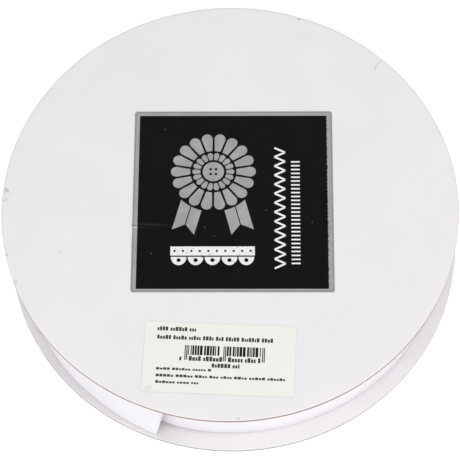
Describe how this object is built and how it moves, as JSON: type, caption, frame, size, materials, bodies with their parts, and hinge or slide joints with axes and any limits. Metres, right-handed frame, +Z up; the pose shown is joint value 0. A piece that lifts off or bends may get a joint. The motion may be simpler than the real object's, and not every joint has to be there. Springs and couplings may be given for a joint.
{
  "type": "roll of bias tape",
  "caption": "White cotton bias tape wound flat between round card discs, its loose cut end showing, with a square printed label and a price sticker.",
  "frame": {"origin": "on the surface that the reel lies on, in the middle between the two cards' centres", "axes": "+Z up along the reel's axis; +X along the square label's lower edge, to the right as it is read; +Y towards the label's upper edge"},
  "size_m": [0.1406, 0.1406, 0.0261],
  "materials": {
    "card": "white paper facing on grey-brown board, matt",
    "tape": "bleached plain-weave cotton cut on the bias, pressed",
    "label_print": "black print with a silver border, satin",
    "sticker_paper": "cream self-adhesive paper, smooth"
  },
  "bodies": {
    "root": {"flange_bottom": "card", "flange_top": "card", "tape_roll": "tape", "tape_end": "tape", "front_label": "label_print", "price_sticker": "sticker_paper"}
  },
  "joints": []
}
